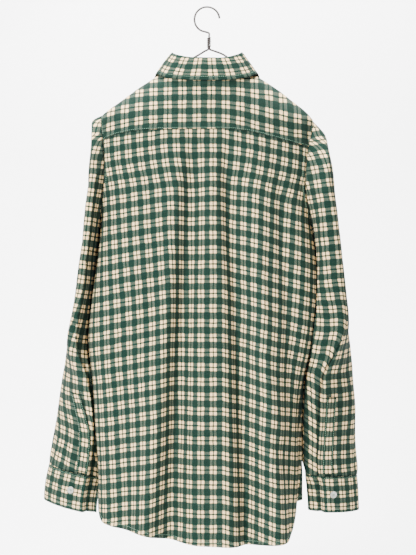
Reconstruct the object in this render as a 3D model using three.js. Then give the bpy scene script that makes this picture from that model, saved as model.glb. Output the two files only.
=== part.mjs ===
// A long-sleeved check flannel shirt, buttoned to the neck and hanging on a wire hanger.
// Millimetres, +Z up. The origin is inside the top of the hanger's hook, where a rod carries it.
// The back of the shirt faces +Y, and the wearer's left is +X. A drop is a depth below the rod,
// and a turn is an angle in degrees round the body from centre back, positive to the wearer's left.
import * as THREE from "three";

// Cloth
const CLOTH = 1.6; // one layer of brushed flannel
const DOUBLE = 2.2; // two layers and their stiffening, in the collar and cuffs
const SEAM = 0.22; // how far each piece stands back from its seam
const ON_TOP = CLOTH + 0.5; // how far a piece that lies on a panel is moved out

// Body: half widths and half depths of the hanging tube, and how square its section is
const BODY = [
  { drop: 94, left: 52, right: 52, back: 42, front: 32, square: 2 },
  { drop: 100, left: 62, right: 62, back: 44, front: 36, square: 2 },
  { drop: 115, left: 85, right: 85, back: 48, front: 42, square: 2 },
  { drop: 135, left: 116, right: 116, back: 53, front: 48, square: 2.05 },
  { drop: 155, left: 143, right: 142, back: 57, front: 52, square: 2.1 },
  { drop: 175, left: 169, right: 166, back: 60, front: 55, square: 2.2 },
  { drop: 190, left: 177, right: 175, back: 62, front: 58, square: 2.3 },
  { drop: 235, left: 178, right: 173, back: 67, front: 63, square: 2.4 },
  { drop: 300, left: 175, right: 168, back: 75, front: 70, square: 2.5 },
  { drop: 345, left: 174, right: 170, back: 79, front: 73, square: 2.5 },
  { drop: 410, left: 180, right: 180, back: 83, front: 76, square: 2.5 },
  { drop: 465, left: 187, right: 183, back: 85, front: 78, square: 2.5 },
  { drop: 540, left: 194, right: 174, back: 87, front: 80, square: 2.5 },
  { drop: 620, left: 187, right: 160, back: 88, front: 81, square: 2.5 },
  { drop: 700, left: 182, right: 156, back: 88, front: 82, square: 2.5 },
  { drop: 780, left: 178, right: 157, back: 88, front: 82, square: 2.5 },
  { drop: 880, left: 178, right: 154, back: 88, front: 82, square: 2.5 },
];

// Folds: soft troughs (depth below 0) and ridges that start at a drop and deepen to the hem
const FOLDS = [
  { face: "back", start: 200, from: 12, to: 60, bend: 1.2, depth: -17, width: 23, grow: 0.6 },
  { face: "back", start: 200, from: -38, to: -78, bend: 1, depth: -19, width: 25, grow: 0.6 },
  { face: "back", start: 215, from: -112, to: -148, bend: 0.8, depth: -9, width: 22, grow: 0.3 },
  { face: "back", start: 300, from: 60, to: 106, bend: 1.4, depth: 10, width: 19, grow: 0.7 },
  { face: "back", start: 230, from: -76, to: -112, bend: 1, depth: 6, width: 22, grow: 0.5 },
  { face: "back", start: 380, from: 128, to: 138, bend: 1, depth: -6, width: 20, grow: 0.4 },
  { face: "front", start: 230, from: 74, to: 62, bend: 1, depth: -20, width: 27, grow: 0.6 },
  { face: "front", start: 260, from: 118, to: 112, bend: 1, depth: 11, width: 22, grow: 0.6 },
  { face: "front", start: 230, from: -78, to: -66, bend: 1, depth: -18, width: 26, grow: 0.6 },
  { face: "front", start: 250, from: -122, to: -108, bend: 1, depth: 12, width: 22, grow: 0.6 },
];
const FOLD_END = 880; // the drop where a fold has its full depth

// Edges of the panels on the body
const SIDE_TURN = 95; // side seam
const ARMHOLE = {
  left: { middle: 260, half: 83, spread: 24, cap: 11 },
  right: { middle: 274, half: 86, spread: 24, cap: 26 },
};
const ARMHOLE_STEP = 15; // degrees round the armhole
const YOKE_CORNER = 60; // degrees round the armhole from its top to each yoke seam
const YOKE_SEAM = [
  { across: -1, drop: 231 },
  { across: -0.81, drop: 228 },
  { across: -0.65, drop: 224 },
  { across: -0.46, drop: 217 },
  { across: -0.3, drop: 210 },
  { across: -0.15, drop: 206 },
  { across: 0, drop: 205 },
  { across: 0.5, drop: 207 },
  { across: 0.7, drop: 211 },
  { across: 0.88, drop: 216 },
  { across: 1, drop: 221 },
];
const NECK_HALF = 63;
const NECK_STEP = 12; // degrees round the neck
const YOKE_NECK = 120; // degrees round the neck from centre back to the yoke's front seam
const NECK = [
  { round: 0, drop: 118 },
  { round: 30, drop: 116.5 },
  { round: 60, drop: 110 },
  { round: 84, drop: 102.6 },
  { round: 90, drop: 101 },
  { round: 96, drop: 103 },
  { round: 106, drop: 108 },
  { round: 120, drop: 123 },
  { round: 135, drop: 142 },
  { round: 150, drop: 161 },
  { round: 165, drop: 176 },
  { round: 180, drop: 182 },
];
const HEM = [
  { turn: -180, drop: 857 },
  { turn: -150, drop: 852 },
  { turn: -125, drop: 832 },
  { turn: -95, drop: 806 },
  { turn: -75, drop: 853 },
  { turn: -60, drop: 868 },
  { turn: -40, drop: 873 },
  { turn: -20, drop: 876 },
  { turn: 0, drop: 873 },
  { turn: 17, drop: 865 },
  { turn: 30, drop: 855 },
  { turn: 45, drop: 850 },
  { turn: 60, drop: 846 },
  { turn: 74, drop: 838 },
  { turn: 95, drop: 802 },
  { turn: 125, drop: 832 },
  { turn: 150, drop: 852 },
  { turn: 180, drop: 857 },
];

// Front opening, wearer's left over right
const PLACKET_HALF = 16;
const UNDERLAP = CLOTH + 1.4; // how far the right front lies inside the left one
const UNDERLAP_FADE = 45;

// Sleeves: plan sections by drop. long is the half length of the flattened oval, thick its half
// thickness, and turn how far its front end swings outwards, in degrees.
const SLEEVES = {
  left: [
    { drop: 190, x: 171, y: -2, long: 44, thick: 19, turn: -4 },
    { drop: 260, x: 173, y: -10, long: 62, thick: 16, turn: -6 },
    { drop: 340, x: 182, y: -24, long: 80, thick: 15, turn: -6 },
    { drop: 430, x: 195, y: -32, long: 81, thick: 15, turn: -5 },
    { drop: 520, x: 211, y: -36, long: 76, thick: 16, turn: 2 },
    { drop: 610, x: 217, y: -36, long: 67, thick: 19, turn: 14 },
    { drop: 700, x: 217, y: -30, long: 58, thick: 23, turn: 36 },
    { drop: 765, x: 221, y: -24, long: 51, thick: 25, turn: 55 },
    { drop: 832, x: 226, y: -22, long: 50, thick: 25, turn: 57 },
  ],
  right: [
    { drop: 190, x: 172, y: -2, long: 44, thick: 20, turn: 0 },
    { drop: 260, x: 187, y: -10, long: 62, thick: 20, turn: 4 },
    { drop: 340, x: 195, y: -24, long: 80, thick: 20, turn: 6 },
    { drop: 430, x: 205, y: -32, long: 80, thick: 22, turn: 8 },
    { drop: 520, x: 210, y: -34, long: 74, thick: 25, turn: 14 },
    { drop: 610, x: 201, y: -32, long: 66, thick: 25, turn: 34 },
    { drop: 700, x: 203, y: -26, long: 58, thick: 26, turn: 45 },
    { drop: 770, x: 205, y: -22, long: 51, thick: 26, turn: 55 },
    { drop: 838, x: 209, y: -20, long: 50, thick: 25, turn: 56 },
  ],
};
const SLEEVE_ROWS = 16;
const SLEEVE_CLEAR = 3.5; // between a sleeve's inner side and the body
const CAP_REACH = 42; // the drop over which the armhole's loop becomes the hanging section
const VALLEY = {
  left: { round: 62, width: 20, start: 560, end: 700, depth: 4 },
  right: { round: 50, width: 15, start: 400, end: 640, depth: 9 },
};
const CUFF = { lap: 30, rows: 2, step: 13, button: 24 };
const CUFFS = {
  left: { top: 766, bottom: 825, tilt: 0.2, over: 65, button: 793 },
  right: { top: 772, bottom: 831, tilt: -0.05, over: 54, button: 801 },
};
const STRIP = { high: 126, rows: 6, lift: 0.8, left: [64, 55, 45, 36], right: [45, 38, 30, 22] };

// Collar
const STAND = [
  { round: 0, high: 26.5 },
  { round: 60, high: 25 },
  { round: 90, high: 23.5 },
  { round: 130, high: 26 },
  { round: 180, high: 28 },
];
const STAND_LEAN = 0.26;
const STAND_LAP = 12; // degrees past centre front at each end
const LEAF_END = 168; // degrees round the neck to the leaf's front edge
const LEAF_ROWS = 5;
const LEAF_BEND = { back: 3.5, front: 13, up: 1.5 };
const LEAF_LIFT = 4.2; // the leaf's outer edge above the panels
const LEAF = [
  { round: 0, across: 0, drop: 127 },
  { round: 30, across: 40, drop: 126 },
  { round: 60, across: 70, drop: 120.5 },
  { round: 90, across: 84, drop: 114.5 },
  { round: 115, across: 86, drop: 136 },
  { round: 140, across: 70, drop: 182 },
  { round: 156, across: 51, drop: 213 },
  { round: 168, across: 36, drop: 225 },
];

// Buttons
const BUTTON = { radius: 5.75, rim: 0.9, thick: 2.6, dish: 1.1, sides: 12, gap: 0.4 };
const FRONT_BUTTONS = [240, 328, 416, 504, 592, 680, 768]; // drops down the placket
const COLLAR_BUTTON_UP = 13; // above the neck seam

// Hanger
const WIRE = 1.7; // radius
const HOOK_RADIUS = 19; // inside
const HOOK_TIP = 205; // degrees round the hook from its shank's side
const NECK_X = -3.3; // the shank stands a little to one side of the hook's middle
const HANGER_LEFT = [
  { x: -1.9, drop: 68.1 },
  { x: 4, drop: 71.5 },
  { x: 14, drop: 77.6 },
];
const HANGER_RIGHT = [
  { x: -4.7, drop: 68.1 },
  { x: -12, drop: 71 },
  { x: -28, drop: 77.6 },
];
const ARM_END = 159;
const ARM_BELOW = CLOTH + WIRE + 1.5; // from the shoulder's cloth to the wire's centre
const HANGER_BAR = 214; // the drop of the lower bar
const TWIST = { radius: 3.6, top: 48, bottom: 66 };

const GREEN = 0x2f6b4f;
const CREAM = 0xe6dcc4;
const LACQUER = 0x2a1b16;

const radians = THREE.MathUtils.degToRad;
const lerp = THREE.MathUtils.lerp;
const clamp = THREE.MathUtils.clamp;

// A smooth curve through one column of a table, read at a value of its first column.
function along(rows, key, column, value) {
  const last = rows.length - 1;
  const at = clamp(value, rows[0][key], rows[last][key]);
  let i = 0;
  while (i < last - 1 && rows[i + 1][key] <= at) i += 1;
  const slope = (k) => {
    const before = rows[Math.max(k - 1, 0)];
    const after = rows[Math.min(k + 1, last)];
    return (after[column] - before[column]) / (after[key] - before[key]);
  };
  const span = rows[i + 1][key] - rows[i][key];
  const t = (at - rows[i][key]) / span;
  const a = (1 + 2 * t) * (1 - t) ** 2 * rows[i][column];
  const b = t * t * (3 - 2 * t) * rows[i + 1][column];
  const c = t * (1 - t) ** 2 * span * slope(i);
  const d = t * t * (t - 1) * span * slope(i + 1);
  return a + b + c + d;
}

const body = (column, drop) => along(BODY, "drop", column, drop);
const power = (value, exponent) => Math.sign(value) * Math.abs(value) ** exponent;

// The smooth tube of the body, without folds.
function tube(turn, drop) {
  const s = Math.sin(radians(turn));
  const c = Math.cos(radians(turn));
  const exponent = 2 / body("square", drop);
  return new THREE.Vector3(
    body(s >= 0 ? "left" : "right", drop) * power(s, exponent),
    body(c >= 0 ? "back" : "front", drop) * power(c, exponent),
    -drop,
  );
}

function foldAt(x, drop, face) {
  let depth = 0;
  for (const fold of FOLDS) {
    if (fold.face !== face || drop <= fold.start) continue;
    const t = Math.min((drop - fold.start) / (FOLD_END - fold.start), 1);
    const onset = THREE.MathUtils.smoothstep(drop, fold.start, fold.start + 120);
    const centre = lerp(fold.from, fold.to, t ** fold.bend);
    const width = fold.width * (0.65 + 0.35 * t);
    depth += onset * fold.depth * t ** fold.grow * Math.exp(-(((x - centre) / width) ** 2));
  }
  return depth;
}

// A point of the body's cloth, with its folds, moved out by lift.
function cloth(turn, drop, lift = 0) {
  const point = tube(turn, drop);
  const round = tube(turn + 1.5, drop).sub(tube(turn - 1.5, drop));
  const down = tube(turn, drop + 1).sub(tube(turn, drop - 1));
  const normal = round.cross(down).normalize();
  const face = Math.cos(radians(turn)) >= 0 ? "back" : "front";
  return point.addScaledVector(normal, foldAt(point.x, drop, face) + lift);
}

// The turn where the body's front or back has a given x at a given drop.
function turnAt(x, drop, front) {
  const share = Math.min(Math.abs(x) / body(x >= 0 ? "left" : "right", drop), 1);
  const turn = THREE.MathUtils.radToDeg(Math.asin(share ** (body("square", drop) / 2)));
  return Math.sign(x || 1) * (front ? 180 - turn : turn);
}

// A point of the armhole, in (turn, drop). round is 0 at the top, 90 at the back and 180 below.
function armhole(side, round) {
  const { middle, half, spread } = ARMHOLE[side];
  const c = Math.cos(radians(round));
  const turn = SIDE_TURN - 2.5 - 2.5 * c - spread * Math.sin(radians(round));
  return [side === "left" ? turn : -turn, middle - half * c];
}

// A point of the neck's edge, in (turn, drop). round is 0 at centre back.
function neck(round) {
  const size = Math.abs(round);
  const drop = along(NECK, "round", "drop", size > 180 ? 360 - size : size);
  const x = NECK_HALF * Math.sin(radians(size));
  const near = turnAt(Math.abs(x), drop, size > 90);
  const turn = size > 180 ? 360 - near : near;
  return [Math.sign(round || 1) * turn, drop];
}

const mix = (a, b, t) => a.map((value, k) => lerp(value, b[k], t));
const hem = (turn) => [turn, along(HEM, "turn", "drop", turn > 180 ? 180 : Math.max(turn, -180))];

// A grid of points inside four edges, each a list of (turn, drop) pairs, blended from them.
function blend(bottom, top, first, last) {
  const columns = bottom.length - 1;
  const rows = first.length - 1;
  return bottom.map((low, i) => {
    const u = i / columns;
    return first.map((edge, j) => {
      const v = j / rows;
      return [0, 1].map((k) => {
        const up = lerp(low[k], top[i][k], v);
        const across = lerp(edge[k], last[j][k], u);
        const start = lerp(bottom[0][k], top[0][k], v);
        const end = lerp(bottom[columns][k], top[columns][k], v);
        return up + across - lerp(start, end, u);
      });
    });
  });
}

// Moves the edges of a grid of points back from their seams.
function standBack(grid, gap, closed = false) {
  const pull = (point, inner) => point.addScaledVector(inner.clone().sub(point).normalize(), gap);
  for (const column of grid) {
    const end = column.length - 1;
    pull(column[0], column[1]);
    pull(column[end], column[end - 1]);
  }
  if (closed) return grid;
  const end = grid.length - 1;
  grid[0].forEach((point, j) => pull(point, grid[1][j]));
  grid[end].forEach((point, j) => pull(point, grid[end - 1][j]));
  return grid;
}

// The inner face of a wall: a grid of points moved in along its own normals.
function inside(grid, thick, closed = false) {
  const end = grid.length - 1;
  const column = (i) => (closed ? grid[(i + end + 1) % (end + 1)] : grid[clamp(i, 0, end)]);
  return grid.map((points, i) =>
    points.map((point, j) => {
      const across = column(i + 1)[j].clone().sub(column(i - 1)[j]);
      const up = points[Math.min(j + 1, points.length - 1)].clone().sub(points[Math.max(j - 1, 0)]);
      return point.clone().addScaledVector(across.cross(up).normalize(), -thick);
    }),
  );
}

// A closed wall between two grids of points, with columns across and rows upwards.
function wall(grid, inner, closed = false) {
  const columns = grid.length;
  const rows = grid[0].length;
  const positions = [...grid.flat(), ...inner.flat()].flatMap((point) => point.toArray());
  const outer = (i, j) => (i % columns) * rows + j;
  const under = (i, j) => outer(i, j) + columns * rows;
  const index = [];
  const quad = (a, b, c, d) => index.push(a, b, c, a, c, d);
  const spans = closed ? columns : columns - 1;
  for (let i = 0; i < spans; i += 1) {
    for (let j = 0; j < rows - 1; j += 1) {
      quad(outer(i, j), outer(i + 1, j), outer(i + 1, j + 1), outer(i, j + 1));
      quad(under(i, j), under(i, j + 1), under(i + 1, j + 1), under(i + 1, j));
    }
    quad(outer(i, 0), under(i, 0), under(i + 1, 0), outer(i + 1, 0));
    quad(outer(i, rows - 1), outer(i + 1, rows - 1), under(i + 1, rows - 1), under(i, rows - 1));
  }
  if (!closed) {
    const end = columns - 1;
    for (let j = 0; j < rows - 1; j += 1) {
      quad(outer(0, j), outer(0, j + 1), under(0, j + 1), under(0, j));
      quad(outer(end, j), under(end, j), under(end, j + 1), outer(end, j + 1));
    }
  }
  const geometry = new THREE.BufferGeometry();
  geometry.setAttribute("position", new THREE.Float32BufferAttribute(positions, 3));
  geometry.setIndex(index);
  return geometry;
}

const shirt = new THREE.Group();

function add(name, geometry, color, roughness = 0.9, metalness = 0) {
  const material = new THREE.MeshStandardMaterial({ color, roughness, metalness });
  const mesh = new THREE.Mesh(geometry, material);
  mesh.name = name;
  shirt.add(mesh);
  return mesh;
}

const steps = (from, to, count) => Array.from({ length: count + 1 }, (_, i) => lerp(from, to, i / count));

// The side edge of a panel, from the hem up the side seam and round the armhole to the yoke.
function sideEdge(side, face) {
  const sign = side === "left" ? 1 : -1;
  const [turn, low] = hem(sign * SIDE_TURN);
  const underarm = armhole(side, 180)[1];
  const seam = steps(low, underarm, 12).map((drop) => [turn, drop]);
  const corner = face === "back" ? YOKE_CORNER : 360 - YOKE_CORNER;
  const count = Math.abs(180 - corner) / ARMHOLE_STEP;
  const curve = steps(180, corner, count).map((round) => armhole(side, round));
  return [...seam, ...curve.slice(1)];
}

// A panel of the body, its edges stood back from their seams. lift moves it out by its x.
function panel(domain, lift = () => 0) {
  const face = (extra) =>
    domain.map((column) =>
      column.map(([turn, drop]) => cloth(turn, drop, extra + lift(tube(turn, drop).x))),
    );
  return wall(standBack(face(0), SEAM), standBack(face(-CLOTH), SEAM));
}

function shell(grid, thick, closed = false) {
  standBack(grid, SEAM, closed);
  return wall(grid, inside(grid, thick, closed), closed);
}

function makeBack() {
  const left = armhole("left", YOKE_CORNER);
  const right = armhole("right", YOKE_CORNER);
  const across = steps(1, -1, 28);
  const bottom = across.map((u) => hem(u * SIDE_TURN));
  const top = across.map((u) => yokeSeam(u, left, right));
  const grid = blend(bottom, top, sideEdge("left", "back"), sideEdge("right", "back"));
  add("back", panel(grid), GREEN);
}

// The yoke's back seam, from the left armhole at 1 to the right one at -1.
function yokeSeam(u, left, right) {
  const corner = u >= 0 ? left : right;
  const drop = Math.abs(u) === 1 ? corner[1] : along(YOKE_SEAM, "across", "drop", u);
  return [Math.abs(u) * corner[0], drop];
}

function makeYoke() {
  const left = armhole("left", YOKE_CORNER);
  const right = armhole("right", YOKE_CORNER);
  const rounds = steps(-YOKE_CORNER, YOKE_CORNER, (2 * YOKE_CORNER) / ARMHOLE_STEP);
  const seam = steps(1, -1, 28).map((u) => yokeSeam(u, left, right));
  const outer = [
    ...rounds.map((round) => armhole("left", round)),
    ...seam.slice(1, -1),
    ...rounds.map((round) => armhole("right", -round)),
  ];
  const inner = steps(YOKE_NECK, -YOKE_NECK, outer.length - 1).map(neck);
  const grid = outer.map((edge, i) => steps(0, 1, 5).map((v) => mix(edge, inner[i], v)));
  add("yoke", panel(grid), GREEN);
}

// One front: its free edge lies PLACKET_HALF past centre front, and its top follows the yoke's
// front seam and then the neck.
function makeFront(side) {
  const sign = side === "left" ? 1 : -1;
  const past = 180 + THREE.MathUtils.radToDeg(Math.asin(PLACKET_HALF / NECK_HALF));
  const seam = steps(0, 1, 5).map((v) =>
    mix(armhole(side, -YOKE_CORNER), neck(sign * YOKE_NECK), v),
  );
  const round = [
    ...steps(YOKE_NECK, 180, (180 - YOKE_NECK) / NECK_STEP).slice(1),
    ...steps(180, past, 2).slice(1),
  ];
  const top = [...seam, ...round.map((angle) => neck(sign * angle))];
  const edgeTurn = (drop) => 360 - turnAt(PLACKET_HALF, drop, true);
  const [cornerTurn, cornerDrop] = top[top.length - 1];
  const side0 = sideEdge(side, "front");
  const low = hem(180)[1];
  const free = side0.map((_, j) => {
    const v = j / (side0.length - 1);
    const drop = lerp(low, cornerDrop, v);
    const turn = v === 1 ? Math.abs(cornerTurn) : edgeTurn(drop);
    return [sign * turn, drop];
  });
  const bottom = top.map((_, i) => {
    const u = i / (top.length - 1);
    return hem(sign * lerp(SIDE_TURN, Math.abs(free[0][0]), u));
  });
  bottom[bottom.length - 1] = free[0];
  const grid = blend(bottom, top, side0, free);
  if (side === "left") grid.reverse();
  const fade = -PLACKET_HALF - UNDERLAP_FADE;
  const under = (x) => -UNDERLAP * THREE.MathUtils.smoothstep(x, fade, -PLACKET_HALF);
  add(`front_${side}`, panel(grid, side === "right" ? under : undefined), GREEN);
}

// The band that lies on the left front's edge and carries the buttons.
function makePlacket() {
  const [, topDrop] = neck(180);
  const drops = steps(hem(180)[1] - 1, topDrop + 2, 20);
  const across = steps(PLACKET_HALF - 0.6, -PLACKET_HALF + 0.6, 4);
  const grid = across.map((x) =>
    drops.map((drop) => {
      const turn = x >= 0 ? turnAt(x, drop, true) : 360 - turnAt(-x, drop, true);
      return cloth(turn, drop, ON_TOP);
    }),
  );
  grid.reverse();
  add("placket", shell(grid, CLOTH), GREEN);
}

function makeCollar() {
  const upright = (round, up, out = 0) => {
    const [turn, drop] = neck(round);
    const base = cloth(turn, drop);
    const plan = new THREE.Vector3(base.x, base.y - 2, 0).normalize();
    return base.add(new THREE.Vector3(0, 0, up)).addScaledVector(plan, out - STAND_LEAN * up);
  };
  const height = (round) => along(STAND, "round", "high", Math.abs(round));
  const overlap = 180 + STAND_LAP;
  // The left end laps over the right one, so the band winds outwards over its last degrees.
  const wind = (round) => 1.5 * (DOUBLE + 0.6) * THREE.MathUtils.smoothstep(round, 120, 166);
  const rounds = steps(overlap, -overlap, 48);
  const band = rounds.map((round) =>
    steps(1.7, height(round), 2).map((up) => upright(round, up, wind(round) - 0.4)),
  );
  add("collar_stand", shell(band, DOUBLE), GREEN);

  const fall = steps(LEAF_END, -LEAF_END, 44).map((round) => {
    const size = Math.abs(round);
    const sign = Math.sign(round || 1);
    const run = upright(round + 2, 0).sub(upright(round - 2, 0));
    const top = height(round) + ((DOUBLE + 1.3) * run.length()) / Math.hypot(run.x, run.y);
    const start = upright(round, top, 0.9 + wind(round));
    const forward = THREE.MathUtils.smoothstep(size, 95, 140);
    const out = lerp(LEAF_BEND.back, LEAF_BEND.front, forward);
    const bend = upright(round, top + LEAF_BEND.up, out + wind(round));
    const drop = along(LEAF, "round", "drop", size);
    const x = along(LEAF, "round", "across", size);
    const end = cloth(sign * turnAt(Math.min(x, body("left", drop)), drop, size > 90), drop, LEAF_LIFT);
    const curve = new THREE.QuadraticBezierCurve3(end, bend, start);
    return steps(0, 1, LEAF_ROWS).map((t) => curve.getPoint(t));
  });
  add("collar_leaf", shell(fall, DOUBLE), GREEN);
  return { upright, wind };
}

// A sleeve's hanging section in plan, for the wearer's left. round is 0 at the outer side, 90 at the
// back, 180 at the inner side and 270 at the front.
function section(side, round, drop, lift = 0) {
  const read = (column) => along(SLEEVES[side], "drop", column, drop);
  const c = Math.cos(radians(round));
  const s = Math.sin(radians(round));
  const turn = radians(read("turn"));
  const long = read("long");
  const thick = read("thick");
  const out = new THREE.Vector2(long * c, thick * s).normalize();
  const valley = VALLEY[side];
  const near = Math.exp(-(((round - valley.round) / valley.width) ** 2));
  const fade = 1 - THREE.MathUtils.smoothstep(drop, CUFFS[side].top - 50, CUFFS[side].top);
  const deep = THREE.MathUtils.smoothstep(drop, valley.start, valley.end);
  const depth = valley.depth * near * deep * fade;
  const p = thick * c + out.x * (lift - depth);
  const q = long * s + out.y * (lift - depth);
  return new THREE.Vector2(
    read("x") + p * Math.cos(turn) - q * Math.sin(turn),
    read("y") + p * Math.sin(turn) + q * Math.cos(turn),
  );
}

// Keeps a sleeve's point outside the body's side, for the wearer's left.
function clearOfBody(side, point, drop) {
  const depth = body(point.y >= 0 ? "back" : "front", drop);
  const square = body("square", drop);
  const share = Math.min(Math.abs(point.y) / depth, 1);
  const edge = body(side, drop) * (1 - share ** square) ** (1 / square) + SLEEVE_CLEAR;
  point.x = Math.max(point.x, edge);
  return point;
}

// A point of a sleeve or cuff in the row's frame, mirrored for the wearer's right.
function onSleeve(side, round, nominal, lift = 0) {
  const [turn, start] = armhole(side, round);
  const hole = tube(Math.abs(turn), start);
  hole.x = Math.abs(tube(turn, start).x);
  const reach = lerp(ARMHOLE[side].cap, CAP_REACH, Math.sin(radians(round / 2)) ** 2);
  const share = clamp((nominal - start) / reach, 0, 1);
  const weight = Math.sin((Math.PI / 2) * share);
  const plan = section(side, ((round % 360) + 360) % 360, nominal, lift);
  const point = new THREE.Vector2(hole.x + 0.8, hole.y).lerp(plan, weight);
  if (nominal > start + 2) clearOfBody(side, point, nominal);
  const centre = along(SLEEVES[side], "drop", "x", nominal);
  const cuff = CUFFS[side];
  const tilt = cuff.tilt * THREE.MathUtils.smoothstep(nominal, cuff.top - 200, cuff.top);
  const z = -nominal + tilt * (point.x - centre);
  return new THREE.Vector3(side === "left" ? point.x : -point.x, point.y, z);
}

function makeSleeve(side) {
  const rounds = steps(0, 360 - ARMHOLE_STEP, 360 / ARMHOLE_STEP - 1);
  const grid = rounds.map((round) => {
    const start = armhole(side, round)[1];
    return steps(0, 1, SLEEVE_ROWS).map((v) => {
      const eased = 1 - v ** 0.9;
      return onSleeve(side, round, lerp(start, CUFFS[side].top, eased));
    });
  });
  if (side === "right") grid.reverse();
  add(`sleeve_${side}`, shell(grid, CLOTH, true), GREEN);
}

// The cuff is one band whose over end laps its under end at the back of the wrist.
function makeCuff(side) {
  const total = 360 + CUFF.lap;
  const count = Math.round(total / CUFF.step);
  const rise = (turned) => (DOUBLE + 0.7) * (1 - THREE.MathUtils.smoothstep(turned, CUFF.lap, CUFF.lap + 60));
  const grid = steps(0, total, count).map((turned) =>
    steps(CUFFS[side].bottom, CUFFS[side].top, CUFF.rows).map((drop) =>
      onSleeve(side, CUFFS[side].over - turned, drop, 0.4 + rise(turned)),
    ),
  );
  if (side === "left") grid.reverse();
  add(`cuff_${side}`, shell(grid, DOUBLE), GREEN);
}

// The strip that finishes the sleeve's slit, above the cuff's lap.
function makeStrip(side) {
  const low = CUFFS[side].top - 4;
  const grid = STRIP[side].map((round) =>
    steps(low, low - STRIP.high, STRIP.rows).map((drop) =>
      onSleeve(side, round, drop, ON_TOP + STRIP.lift),
    ),
  );
  if (side === "left") grid.reverse();
  add(`sleeve_placket_${side}`, shell(grid, CLOTH), GREEN);
}

// A sew-through button, dished inside its rim, that faces along out from a point.
function makeButton(name, point, out) {
  const { radius, rim, thick, dish, sides, gap } = BUTTON;
  const profile = [
    [0, 0],
    [radius - rim, 0],
    [radius, 0.7],
    [radius, thick - 0.5],
    [radius - rim, thick],
    [radius - 2 * rim, thick - dish],
    [0, thick - dish],
  ].map(([r, h]) => new THREE.Vector2(r, h));
  const mesh = add(name, new THREE.LatheGeometry(profile, sides), CREAM, 0.35);
  mesh.quaternion.setFromUnitVectors(new THREE.Vector3(0, 1, 0), out.clone().normalize());
  mesh.position.copy(point).addScaledVector(out.clone().normalize(), gap);
}

function makeButtons({ upright, wind }) {
  FRONT_BUTTONS.forEach((drop, i) => {
    const here = cloth(180, drop, ON_TOP);
    const out = cloth(180, drop, ON_TOP + 5).sub(here);
    makeButton(`button_front_${i + 1}`, here, out);
  });
  const stand = upright(180, COLLAR_BUTTON_UP, wind(180) - 0.4);
  makeButton("button_collar", stand.add(new THREE.Vector3(0, -0.5, 0)), new THREE.Vector3(0, -1, 0.16));
  for (const side of ["left", "right"]) {
    const drop = CUFFS[side].button;
    const lift = 0.4 + DOUBLE + 0.7;
    const here = onSleeve(side, CUFF.button, drop, lift + 0.5);
    const out = onSleeve(side, CUFF.button, drop, lift + 6).sub(here);
    makeButton(`button_cuff_${side}`, here, out);
  }
}

const wireSection = () => {
  const shape = new THREE.Shape();
  const sides = 6;
  for (let k = 0; k < sides; k += 1) {
    const angle = (2 * Math.PI * k) / sides;
    const [x, y] = [WIRE * Math.cos(angle), WIRE * Math.sin(angle)];
    if (k) shape.lineTo(x, y);
    else shape.moveTo(x, y);
  }
  return shape;
};

function wire(name, points, count) {
  const path = new THREE.CatmullRomCurve3(points, false, "centripetal");
  const geometry = new THREE.ExtrudeGeometry(wireSection(), {
    extrudePath: path,
    steps: count,
    bevelEnabled: false,
  });
  add(name, geometry, LACQUER, 0.4, 0.6);
}

// A bent wire frame with a hook, and the sleeve of twisted wire that joins them.
function makeHanger() {
  const hook = [
    new THREE.Vector3(NECK_X, 0, -TWIST.top + 0.4),
    new THREE.Vector3(NECK_X, 0, -2 * HOOK_RADIUS - 4),
  ];
  const bow = HOOK_RADIUS + WIRE;
  for (const angle of steps(-62, HOOK_TIP - 30, 14)) {
    const turn = radians(angle);
    const z = bow * Math.sin(turn) - HOOK_RADIUS;
    hook.push(new THREE.Vector3(bow * Math.cos(turn), 0, z));
  }
  wire("hanger_hook", hook, 36);

  const ridge = (x) => {
    let drop = 94;
    while (Math.min(body("left", drop), body("right", drop)) < x) drop += 0.2;
    return drop;
  };
  const shoulder = (x) => -ridge(x) - ARM_BELOW * Math.hypot(1, (ridge(x + 3) - ridge(x - 3)) / 6);
  const arm = (sign, neckPoints) => [
    ...neckPoints.map(({ x, drop }) => new THREE.Vector3(x, 0, -drop)),
    ...[64, 92, 120, 148, ARM_END - 4].map((x) => new THREE.Vector3(sign * x, 0, shoulder(x))),
    new THREE.Vector3(sign * (ARM_END + 2), 0, -HANGER_BAR + 18),
    new THREE.Vector3(sign * (ARM_END - 7), 0, -HANGER_BAR + 2),
    new THREE.Vector3(sign * (ARM_END - 22), 0, -HANGER_BAR),
    new THREE.Vector3(sign * 60, 0, -HANGER_BAR),
  ];
  const frame = [...arm(1, HANGER_LEFT), ...arm(-1, HANGER_RIGHT).reverse()];
  wire("hanger_frame", frame, 68);

  const turns = [];
  const count = 8;
  for (const k of steps(0, count, count)) {
    const radius = k % 2 ? TWIST.radius : TWIST.radius - 0.9;
    turns.push(new THREE.Vector2(radius, lerp(-TWIST.bottom, -TWIST.top, k / count)));
  }
  const profile = [new THREE.Vector2(0, -TWIST.bottom), ...turns, new THREE.Vector2(0, -TWIST.top)];
  const neckTwist = new THREE.LatheGeometry(profile, 12);
  neckTwist.rotateX(Math.PI / 2);
  neckTwist.translate(NECK_X, 0, 0);
  add("hanger_twist", neckTwist, LACQUER, 0.4, 0.6);
}

makeBack();
makeYoke();
makeFront("left");
makeFront("right");
makePlacket();
const collar = makeCollar();
for (const side of ["left", "right"]) {
  makeSleeve(side);
  makeCuff(side);
  makeStrip(side);
}
makeButtons(collar);
makeHanger();

export default shirt;
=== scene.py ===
import math

import bmesh
import bpy
import numpy as np
from mathutils import Matrix, Vector


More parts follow.
